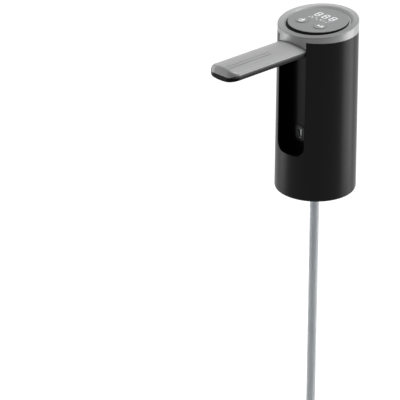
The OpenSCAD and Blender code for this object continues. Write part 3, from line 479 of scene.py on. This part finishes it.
finishes = {
    "shell_black": mouldedFinish("shellBlack", (0.0032, 0.0032, 0.0035), (0.0022, 0.0022, 0.0024), 0.30,
                                 strength=0.04, shine=0.115),
    # the cap's top carries a painted sheen, lighter toward the back left
    "cap_grey": spunLinesPaintedSheenFinish("capGrey", greys["cap"], darker(greys["cap"], 0.86), 0.34, capPlace,
                           metal=0.15, shine=0.35),
    "panel_grey": mouldedFinish("panelGrey", greys["panel"], darker(greys["panel"], 0.96), 0.42, grain=4200,
                                shine=0.3),
    "key_grey": mouldedFinish("keyGrey", darker(greys["panel"], 1.04), greys["panel"], 0.4, grain=4200,
                              shine=0.35),
    "window_white": litFinish("litWhite", (0.82, 0.83, 0.84), 0.36),
    "gasket_black": mouldedFinish("gasketBlack", (0.012, 0.012, 0.012), (0.007, 0.007, 0.007), 0.7,
                                  strength=0.3, shine=0.15),
    "bay_black": mouldedFinish("recessBlack", (0.0034, 0.0034, 0.0038), (0.0024, 0.0024, 0.0026), 0.26,
                               strength=0.03, shine=0.065),
    "bezel_dark": mouldedFinish("bezelDark", (0.007, 0.007, 0.008), (0.005, 0.005, 0.006), 0.32, shine=0.14),
    "steel": brushedFinish("screwSteel", (0.62, 0.63, 0.64), (0.5, 0.51, 0.52), 0.28, (900, 900, 200),
                           metal=1.0),
    "board_green": boardFinish("boardGreen", (0.018, 0.12, 0.055), (0.05, 0.2, 0.1), 0.35),
    "lead_red": mouldedFinish("leadRed", (0.45, 0.04, 0.04), (0.36, 0.03, 0.03), 0.45),
    "frame_dark": mouldedFinish("frameDark", (0.055, 0.055, 0.06), (0.042, 0.042, 0.046), 0.55,
                                strength=0.2),
    "cup_dark": mouldedFinish("cupDark", (0.016, 0.016, 0.018), (0.011, 0.011, 0.012), 0.5, strength=0.2,
                              shine=0.3),
    "silicone": mouldedFinish("siliconeClear", (0.76, 0.79, 0.81), (0.72, 0.75, 0.77), 0.3, cloud=25,
                              strength=0.03, index=1.41, through=0.55),
    "pump_dark": mouldedFinish("pumpDark", (0.045, 0.047, 0.05), (0.035, 0.036, 0.04), 0.5, strength=0.2),
    "gear_ivory": mouldedFinish("gearIvory", (0.8, 0.76, 0.65), (0.72, 0.68, 0.58), 0.4),
    "rotor_copper": turnedFinish("rotorCopper", (0.5, 0.22, 0.1), (0.2, 0.09, 0.05), 0.4, 900, metal=0.6),
    "can_metal": brushedFinish("canMetal", (0.5, 0.51, 0.52), (0.4, 0.41, 0.42), 0.3, (700, 700, 60),
                               metal=1.0),
    "magnet_dark": mouldedFinish("magnetDark", (0.06, 0.06, 0.06), (0.04, 0.04, 0.04), 0.7, strength=0.4),
    "bush_bronze": turnedFinish("bushBronze", (0.5, 0.33, 0.14), (0.4, 0.26, 0.1), 0.4, 600, metal=1.0),
    "cell_blue": turnedFinish("cellBlue", (0.05, 0.16, 0.4), (0.04, 0.13, 0.33), 0.3, 40),
    "chip_black": mouldedFinish("chipBlack", (0.018, 0.018, 0.018), (0.012, 0.012, 0.012), 0.6,
                                strength=0.2),
    "ribbon_amber": brushedFinish("ribbonAmber", (0.5, 0.25, 0.05), (0.4, 0.19, 0.03), 0.35,
                                  (900, 900, 20)),
    # the channel's paler upper band is painted shade of the grey cover's side
    "spout_black": paintedShadeBandFinish("spoutBlack", (0.0036, 0.0036, 0.004), (0.0026, 0.0026, 0.0028), 0.3,
                                (0.12, 0.12, 0.122), hingePlace, 0.0008, 0.0026, shine=0.06),
    "spout_grey": brushedFinish("spoutGrey", greys["spout"], darker(greys["spout"], 0.78), 0.36,
                                (700, 14, 300), spread=0.08, strength=0.05, metal=0.1, shine=0.35),
    "nozzle_dark": mouldedFinish("nozzleDark", (0.03, 0.03, 0.032), (0.022, 0.022, 0.024), 0.45),
    "foot_white": mouldedFinish("footWhite", (0.72, 0.73, 0.74), (0.66, 0.67, 0.68), 0.42),
}

slotOf = {row["node"]: row["material_slot"] for row in frame["record"]["subparts"]}
for name, node in nodes.items():
    node.data.materials.clear()
    node.data.materials.append(finishes[slotOf[name]])
print("finishes on", len(nodes), "nodes")


hose = {"radius": 0.004, "wall": 0.001, "top": 0.037, "low": -0.372, "steps": 20, "sides": 32,
        "smoothTo": 50}


def makeHose():
    step = (hose["low"] - hose["top"]) / hose["steps"]
    tube = startCircle("suctionHose", hose["radius"], hose["top"], hose["sides"], False)
    edit(tube, "EDGE")
    pickAll()
    for k in range(hose["steps"]):
        extrude(0, 0, step)
    fixNormals()
    done()
    wall = tube.modifiers.new("wall", "SOLIDIFY")
    wall.thickness = hose["wall"]
    wall.offset = -1
    apply(tube, wall)
    smooth(tube, hose["smoothTo"])
    settle(tube, "housing", "silicone", "suction_hose")


makeHose()


shell = {"topR": 0.0345, "footR": 0.035493, "boreR": 0.0327, "topZ": 0.1456, "footZ": 0.001, "sides": 180,
         "slotHalf": 0.0155, "slotLow": 0.040, "corner": 0.009, "cornerSteps": 14, "edge": 0.0004}


def slotTool():
    # block with round lower corners, for the recess in the front
    half, low = shell["slotHalf"], shell["slotLow"]
    tool = startBlock("slotTool", (-half, -past["body"], low), (half, 0, past["aboveCap"]))
    edit(tool, "EDGE")
    pick(tool, "EDGE", lambda e: abs(middleOf(e).z - low) < close
         and abs(abs(middleOf(e).x) - half) < close)
    bevel(shell["corner"], shell["cornerSteps"])
    done()
    return tool


def makeShell():
    body = startCircle("bodyShell", shell["topR"], shell["topZ"], shell["sides"], False)
    tall = shell["topZ"] - shell["footZ"]
    edit(body, "EDGE")
    pickAll()
    extrude(0, 0, -tall)
    resize(shell["footR"] / shell["topR"])
    extrude(0, 0, 0)
    resize(shell["boreR"] / shell["footR"])
    extrude(0, 0, tall)
    pick(body, "EDGE", lambda e: all(abs(v.co.z - shell["topZ"]) < near for v in e.verts))
    bpy.ops.mesh.bridge_edge_loops()
    fixNormals()
    done()
    combine(body, slotTool())
    soften(body, shell["edge"])
    smooth(body)
    settle(body, "housing", "shell_black", "body_shell")


makeShell()


# sizes that the cap, the spout's cover and its channel share
spout = {"half": 0.0152, "length": 0.0910, "split": 0.00313, "noseLow": 0.00143, "noseL": 0.003,
         "noseLip": 0.0005, "top": 0.0082, "crownR": 0.036, "corner": 0.008, "cornerSteps": 10,
         "columns": 12, "hub": 0.0049}


def crownAt(x, inset=0.0):
    # height of the arched top at a distance from the middle
    reach = spout["crownR"] - inset
    return spout["top"] - spout["crownR"] + math.sqrt(reach * reach - x * x)


cap = {"outerR": 0.0345, "seamZ": 0.1456, "lowZ": 0.1360, "apronHalf": 0.0152, "apronIn": 0.0325,
       "apronGap": 0.0004, "chamfer": 0.0007, "pocketR": 0.0278, "ledge": -0.0025, "holeR": 0.0218,
       "ledgeLow": -0.0045, "insideR": 0.0309, "edge": 0.00025, "edgeSteps": 2, "sides": 180,
       "rimLow": 0.147, "archSides": 288, "archBack": 0.01, "archL": 0.05, "seatR": 0.0262,
       "grooveLow": -0.00175, "flareLow": -0.0016, "flareGrow": 1.0, "flareTop": 0.004}


def makeCap():
    ring = startCircle("capRing", cap["outerR"], cap["lowZ"], cap["sides"])
    lean = math.radians(capPlace["turn"])
    edit(ring)
    pickAll()
    extrude(0, 0, past["cap"])
    pickAll()
    bpy.ops.mesh.bisect(plane_co=capPlace["spot"], plane_no=(0, -math.sin(lean), math.cos(lean)),
                        use_fill=True, clear_outer=True)
    fixNormals()
    pick(ring, "EDGE", lambda e: all(v.co.z > cap["rimLow"] for v in e.verts)
         and all(abs(acrossOf(v) - cap["outerR"]) < close for v in e.verts)
         and any(facesUp(f) for f in e.link_faces))
    bevel(cap["chamfer"])
    done()
    combine(ring, putOn(disc("tool", cap["seatR"], cap["ledge"], past["cap"]), panelPlace))
    # groove round the panel, with a wall that opens out
    pocket = disc("tool", cap["pocketR"], cap["grooveLow"], cap["flareLow"])
    edit(pocket)
    pick(pocket, "FACE", facesUp)
    rise = cap["flareTop"] - cap["flareLow"]
    extrude(0, 0, rise)
    resize(1 + rise * cap["flareGrow"] / cap["pocketR"])
    done()
    combine(ring, putOn(pocket, groovePlace))
    combine(ring, putOn(disc("tool", cap["holeR"], -past["cap"], past["cap"]), panelPlace))
    combine(ring, putOn(disc("tool", cap["insideR"], -past["cap"], cap["ledgeLow"]), panelPlace))
    # below the seam only the apron over the spout is left
    wide, low, seam = past["body"], past["belowCap"], cap["seamZ"]
    combine(ring, disc("tool", cap["apronIn"], low, seam))
    for side in (-1, 1):
        xs = sorted((side * cap["apronHalf"], side * wide))
        combine(ring, startBlock("tool", (xs[0], -wide, low), (xs[1], wide, seam)))
    combine(ring, startBlock("tool", (-wide, 0, low), (wide, wide, seam)))
    # the apron's lower edge is arched along the spout's crown
    arch = turned(disc("tool", spout["crownR"] + cap["apronGap"], 0, cap["archL"], cap["archSides"]), x=90,
                  spot=(0, cap["archBack"], spout["top"] - spout["crownR"]))
    combine(ring, putOn(arch, hingePlace))
    soften(ring, cap["edge"], cap["edgeSteps"])
    smooth(ring)
    settle(ring, "housing", "cap_grey", "top_ring")


makeCap()


panel = {"radius": 0.026, "top": 0.0003, "plateLow": -0.0001, "edge": 0.0003, "skirtR": 0.0259,
         "skirtIn": 0.0225, "low": -0.0019, "keyHoleR": 0.00575, "keyX": 0.01014, "keyY": -0.00897,
         "skirtEdge": 0.00015, "skirtSteps": 2, "sides": 144}
key = {"radius": 0.0055, "top": 0.0008, "low": -0.0022, "edge": 0.0004, "dishIn": 0.0011, "dish": -0.00018,
       "sides": 72}


def makePanel():
    plate = disc("panelDisc", panel["radius"], panel["plateLow"], panel["top"], panel["sides"])
    edit(plate, "EDGE")
    pick(plate, "EDGE", lambda e: all(abs(v.co.z - panel["top"]) < near for v in e.verts))
    bevel(panel["edge"])
    done()
    for side in (-1, 1):
        hole = turned(disc("tool", panel["keyHoleR"], -past["panel"], past["panel"], key["sides"]),
                      spot=(side * panel["keyX"], panel["keyY"], 0))
        combine(plate, hole)
    putOn(plate, panelPlace)
    smooth(plate)
    settle(plate, "housing", "panel_grey", "touch_panel")
    # black band under the plate, which shows as a dark crescent at the front
    band = disc("panelSkirt", panel["skirtR"], panel["low"], panel["plateLow"], panel["sides"])
    combine(band, disc("tool", panel["skirtIn"], -past["panel"], past["panel"], panel["sides"]))
    soften(band, panel["skirtEdge"], panel["skirtSteps"])
    putOn(band, panelPlace)
    smooth(band)
    settle(band, "housing", "gasket_black")


def makeKey(side, name, body):
    knob = disc(name, key["radius"], key["low"], key["top"], key["sides"])
    edit(knob)
    pick(knob, "FACE", facesUp)
    bpy.ops.mesh.inset(thickness=key["dishIn"])
    bpy.ops.mesh.inset(thickness=key["dishIn"])
    slide(0, 0, key["dish"])
    pick(knob, "EDGE", lambda e: all(abs(v.co.z - key["top"]) < near for v in e.verts)
         and all(abs(acrossOf(v) - key["radius"]) < close for v in e.verts))
    bevel(key["edge"])
    pickAll()
    slide(side * panel["keyX"], panel["keyY"], 0)
    done()
    putOn(knob, panelPlace)
    smooth(knob)
    settle(knob, body, "key_grey", body)


makePanel()
makeKey(-1, "leftKeyCap", "left_key")
makeKey(1, "rightKeyCap", "right_key")


digit = {"height": 0.008, "width": 0.0052, "pitch": 0.0082, "stroke": 0.00098, "gap": 0.00026, "y": 0.00936,
         "rise": 0.00004}


# corners of a lit bar, as a share of its width
barCorner = 0.42
barSteps = 2


def strokeBar(length, width, z, rise):
    # bar along X with round corners
    bar = startBlock("bar", (-length / 2, -width / 2, z), (length / 2, width / 2, z + rise))
    edit(bar, "EDGE")
    pick(bar, "EDGE", lambda e: abs(e.verts[0].co.z - e.verts[1].co.z) > rise / 2)
    bevel(width * barCorner, barSteps)
    done()
    return bar


def moved(piece, x, y, turn=0.0):
    piece.location = (x, y, 0)
    piece.rotation_euler = (0, 0, math.radians(turn))
    return piece


def barsAt(rows, width, z, rise):
    # each row holds a bar's x, y, length and turn
    return [moved(strokeBar(length, width, z, rise), x, y, turn) for x, y, length, turn in rows]


def makeDigits():
    runX = digit["width"] - digit["stroke"]
    runY = (digit["height"] - digit["stroke"]) / 2
    z = panel["top"]
    flat = strokeBar(runX - digit["gap"], digit["stroke"], z, digit["rise"])
    tall = strokeBar(runY - digit["gap"], digit["stroke"], z, digit["rise"])
    parts = []
    for n in (-1, 0, 1):
        x0 = n * digit["pitch"]
        for j in (-1, 0, 1):
            parts.append(moved(copied(flat, "flat"), x0, digit["y"] + j * runY))
        for i in (-1, 1):
            for j in (-1, 1):
                parts.append(moved(copied(tall, "tall"), x0 + i * runX / 2, digit["y"] + j * runY / 2, 90))
    bpy.data.objects.remove(flat)
    bpy.data.objects.remove(tall)
    lit = joined(parts, "litDigits")
    putOn(lit, panelPlace)
    settle(lit, "housing", "window_white", "digit_windows")


makeDigits()


# small level bars under the digits
marks = {
    "width": 0.0008,
    "rise": 0.00004,
    "bars": ((-0.0108, 0.0004, 0.0020, 70), (-0.0092, 0.0026, 0.0020, 70), (-0.0074, 0.0004, 0.0018, 70),
             (-0.0050, 0.0024, 0.0016, 62), (-0.0023, 0.0005, 0.0018, 62), (0.0010, 0.0023, 0.0016, 62),
             (0.0024, 0.0001, 0.0016, 62), (0.0047, 0.0015, 0.0018, 62), (0.0083, 0.0006, 0.0018, 62),
             (0.0097, 0.0029, 0.0016, 62)),
}


def makeMarks():
    lit = joined(barsAt(marks["bars"], marks["width"], panel["top"], marks["rise"]), "litMarks")
    putOn(lit, panelPlace)
    settle(lit, "housing", "window_white")


makeMarks()


# signs on the keys: a drop with two bars on the left one, a pointer with two bars on the right one
icon = {
    "z": 0.00063,
    "rise": 0.00005,
    "stroke": 0.0009,
    "dropR": 0.0014,
    "dropSides": 24,
    "dropTop": 0.00135,
    "dropPoint": 0.0014,
    "dropAt": (0.0005, 0.0003),
    "leftBars": ((0.0002, -0.0025, 0.0052, 0), (-0.0023, 0.0003, 0.0024, 70)),
    "pointerR": 0.0018,
    "pointerAt": (-0.0016, 0.0001, -90),
    "rightBars": ((0.0012, 0, 0.0038, 90), (0.0029, 0, 0.0038, 90)),
}


def flatShape(name, radius, sides):
    return disc(name, radius, icon["z"], icon["z"] + icon["rise"], sides)


def makeIcons():
    size = icon["stroke"], icon["z"], icon["rise"]
    drop = flatShape("drop", icon["dropR"], icon["dropSides"])
    edit(drop, "VERT")
    pick(drop, "VERT", lambda v: v.co.y > icon["dropTop"])
    slide(0, icon["dropPoint"], 0)
    done()
    leftParts = [moved(drop, *icon["dropAt"]), *barsAt(icon["leftBars"], *size)]
    pointer = flatShape("pointer", icon["pointerR"], 3)
    rightParts = [moved(pointer, *icon["pointerAt"]), *barsAt(icon["rightBars"], *size)]
    for parts, side, name, body in ((leftParts, -1, "leftIcon", "left_key"),
                                    (rightParts, 1, "rightIcon", "right_key")):
        sign = joined(parts, name)
        edit(sign)
        pickAll()
        slide(side * panel["keyX"], panel["keyY"], 0)
        done()
        putOn(sign, panelPlace)
        settle(sign, body, "window_white")


makeIcons()


def spoutBlock(name, low, high, inset=0.0, tip=0.0):
    # block with round tip corners, cut in strips along its length
    half = spout["half"] - inset
    length = spout["length"] - tip
    corner = spout["corner"] - inset
    block = startBlock(name, (-half, -length, low), (half, 0, high))
    edit(block, "EDGE")
    pick(block, "EDGE", lambda e: all(abs(v.co.y + length) < near for v in e.verts)
         and abs(e.verts[0].co.z - e.verts[1].co.z) > clear)
    bevel(corner, spout["cornerSteps"])
    for k in range(1 - spout["columns"], spout["columns"]):
        pickAll()
        bpy.ops.mesh.bisect(plane_co=(half * k / spout["columns"], 0, 0), plane_no=(1, 0, 0))
    return block


def bend(piece, level, rise):
    # moves the strips at a level up or down by their distance from the middle
    mesh = bmesh.from_edit_mesh(piece.data)
    places = sorted({round(v.co.x, 6) for v in mesh.verts if abs(v.co.z - level) < near})
    for x in places:
        pick(piece, "VERT", lambda v: abs(v.co.x - x) < near and abs(v.co.z - level) < near)
        slide(0, 0, rise(x))


def leanTip(piece, test, lean):
    # draws the tip's edge back, less and less round the corners
    mesh = bmesh.from_edit_mesh(piece.data)
    start = spout["corner"] - spout["length"]
    places = sorted({round(v.co.y, 6) for v in mesh.verts if v.co.y < start and test(v)})
    for y in places:
        pick(piece, "VERT", lambda v: abs(v.co.y - y) < near and test(v))
        slide(0, lean * (start - y) / spout["corner"], 0)


def underNose(name):
    # everything below the line where the lid meets the channel
    wide, behind = past["spout"], past["hinge"]
    tool = startBlock(name, (-wide, -past["beyondTip"], -behind), (wide, behind, spout["split"]))
    edit(tool, "EDGE")
    tip = -spout["length"]
    for y in (tip + spout["noseLip"], tip + spout["noseL"]):
        pickAll()
        bpy.ops.mesh.bisect(plane_co=(0, y, 0), plane_no=(0, 1, 0))
    pick(tool, "VERT", lambda v: v.co.y < tip + spout["noseLip"] + near and v.co.z > 0)
    slide(0, 0, spout["noseLow"] - spout["split"])
    fixNormals()
    done()
    return tool


# topFacing and sideFacing tell the top's edge by the slopes of the faces beside it, rootFacing the root
cover = {"slope": 0.002, "edge": 0.0013, "edgeSteps": 5, "topFacing": 0.85, "sideFacing": (-0.5, 0.6),
         "rootFacing": 0.99, "wall": 0.0016, "skirt": 0.0014, "ceiling": 0.0075, "wrapTurn": 40,
         "wrapSteps": 8, "lineX": 0.0017, "lineShift": 0.0045, "lineStart": 0.0015, "lineW": 0.0006,
         "lineDepth": 0.0003, "lineL": 0.05}


def makeCover():
    low, top = spout["noseLow"], spout["top"]
    lid = spoutBlock("spoutCover", low, top)
    bend(lid, top, lambda x: crownAt(x) - top)
    leanTip(lid, lambda v: v.co.z > low + clear, cover["slope"])
    fixNormals()
    sideLow, sideHigh = cover["sideFacing"]
    pick(lid, "EDGE", lambda e: len(e.link_faces) == 2 and middleOf(e).y < -close
         and max(slopesBeside(e)) > cover["topFacing"] and sideLow < min(slopesBeside(e)) < sideHigh)
    bevel(cover["edge"], cover["edgeSteps"])
    # the root wraps round the hinge
    pick(lid, "FACE", lambda f: f.normal.y > cover["rootFacing"] and middleOf(f).y > -close)
    bpy.ops.mesh.spin(steps=cover["wrapSteps"], angle=math.radians(cover["wrapTurn"]), center=(0, 0, 0),
                      axis=(1, 0, 0))
    fixNormals()
    done()
    # hollow under the top
    ceiling = cover["ceiling"]
    room = spoutBlock("tool", 0, ceiling, cover["skirt"], cover["slope"] + cover["skirt"])
    bend(room, ceiling, lambda x: crownAt(x, cover["wall"]) - ceiling)
    fixNormals()
    done()
    combine(lid, room)
    combine(lid, rodAcross("tool", spout["hub"], -past["spout"], past["spout"]))
    combine(lid, underNose("tool"))
    start = cover["slope"] + cover["lineStart"] - spout["length"]
    for side in (-1, 1):
        x = cover["lineShift"] + side * cover["lineX"]
        combine(lid, startBlock("tool", (x - cover["lineW"] / 2, start, crownAt(x) - cover["lineDepth"]),
                                (x + cover["lineW"] / 2, start + cover["lineL"], past["crown"])))
    putOn(lid, hingePlace)
    smooth(lid)
    settle(lid, "spout", "spout_grey", "spout_cover")


makeCover()


# underFacing and sideFacing tell the underside's edge from others
channel = {"belly": -0.0033, "bellyR": 0.054, "edge": 0.0006, "edgeSteps": 4, "underFacing": -0.85,
           "sideFacing": -0.5, "knuckleR": 0.0046, "hubHalf": 0.0073, "boreR": 0.00306, "plugR": 0.0039,
           "plugX": 0.01355, "nozzleR": 0.00415, "nozzleBack": 0.010, "nozzleTop": 0.0005, "nozzleSides": 72}


def makeChannel():
    low, half, wide = channel["belly"], spout["half"], past["spout"]
    tray = spoutBlock("spoutChannel", low, spout["top"])
    bend(tray, low, lambda x: channel["bellyR"] - math.sqrt(channel["bellyR"] ** 2 - x * x))
    fixNormals()
    pick(tray, "EDGE", lambda e: len(e.link_faces) == 2 and middleOf(e).y < -close
         and min(slopesBeside(e)) < channel["underFacing"] and max(slopesBeside(e)) > channel["sideFacing"])
    bevel(channel["edge"], channel["edgeSteps"])
    fixNormals()
    done()
    combine(tray, underNose("tool"), "INTERSECT")
    for ends in ((channel["hubHalf"], half), (-half, -channel["hubHalf"])):
        combine(tray, rodAcross("tool", channel["knuckleR"], *ends), "UNION")
    combine(tray, rodAcross("tool", spout["hub"], -channel["hubHalf"], channel["hubHalf"]))
    combine(tray, rodAcross("tool", channel["boreR"], -wide, wide))
    for ends in ((channel["plugX"], wide), (-wide, -channel["plugX"])):
        combine(tray, rodAcross("tool", channel["plugR"], *ends))
    hole = disc("tool", channel["nozzleR"], -past["belowSpout"], channel["nozzleTop"],
                channel["nozzleSides"])
    combine(tray, turned(hole, spot=(0, channel["nozzleBack"] - spout["length"], 0)))
    putOn(tray, hingePlace)
    smooth(tray)
    settle(tray, "spout", "spout_black", "spout_channel")


makeChannel()


plainWhite = tone((1, 1, 1))
studio = {"floorZ": -0.3895, "floorSize": 12, "diffuse": 0.18, "white": 1.0, "floorTone": 0.35,
          "floorGlow": 0.9}
lamps = {
    "topSoft": {"spot": (0.30, 0.62, 1.80), "aim": (0, 0, 0.1), "size": (1.0, 1.0), "power": 25},
    "backSoft": {"spot": (0.50, 0.60, 0.02), "aim": (0, 0, 0.05), "size": (0.56, 0.76), "power": 4.8},
    "leftSoft": {"spot": (-0.68, -0.44, 0.05), "aim": (0, 0, 0.05), "size": (0.4, 0.8), "power": 3.0},
}


def seenDirectly(wire):
    # 1 for what the camera sees, also in a reflection or through a clear piece
    path = wire.make("ShaderNodeLightPath", out="Is Camera Ray")
    glossy = Wire(wire.tree, path.socket.node.outputs["Is Glossy Ray"])
    through = Wire(wire.tree, path.socket.node.outputs["Is Transmission Ray"])
    return path.math("MAXIMUM", path.math("MAXIMUM", path, glossy), through)


def makeStudio():
    world = bpy.data.worlds.new("studio")
    scene.world = world
    world.use_nodes = True
    tree = world.node_tree
    tree.nodes.clear()
    wire = Wire(tree)
    dim = wire.make("ShaderNodeBackground", None, {"Color": plainWhite, "Strength": studio["diffuse"]})
    white = wire.make("ShaderNodeBackground", None, {"Color": plainWhite, "Strength": studio["white"]})
    both = wire.make("ShaderNodeMixShader", None, {0: seenDirectly(wire), 1: dim, 2: white})
    wire.make("ShaderNodeOutputWorld", None, {"Surface": both})

    clearAll()
    bpy.ops.mesh.primitive_plane_add(size=studio["floorSize"], location=(0, 0, studio["floorZ"]))
    floor = named("floor")
    paint = bpy.data.materials.new("paleFloor")
    paint.use_nodes = True
    paint.node_tree.nodes.clear()
    wire = Wire(paint.node_tree)
    matt = wire.make("ShaderNodeBsdfDiffuse", None, {"Color": tone([studio["floorTone"]] * 3)})
    glow = wire.make("ShaderNodeEmission", None,
                     {"Color": plainWhite, "Strength": seenDirectly(wire) * studio["floorGlow"]})
    both = wire.make("ShaderNodeAddShader", None, {0: matt, 1: glow})
    wire.make("ShaderNodeOutputMaterial", None, {"Surface": both})
    floor.data.materials.append(paint)

    for name, lamp in lamps.items():
        light = bpy.data.lights.new(name, "AREA")
        light.shape = "RECTANGLE"
        light.size, light.size_y = lamp["size"]
        light.energy = lamp["power"]
        holder = bpy.data.objects.new(name, light)
        scene.collection.objects.link(holder)
        holder.location = lamp["spot"]
        toward = Vector(lamp["aim"]) - Vector(lamp["spot"])
        holder.rotation_euler = toward.to_track_quat("-Z", "Y").to_euler()


makeStudio()
print("studio lit")
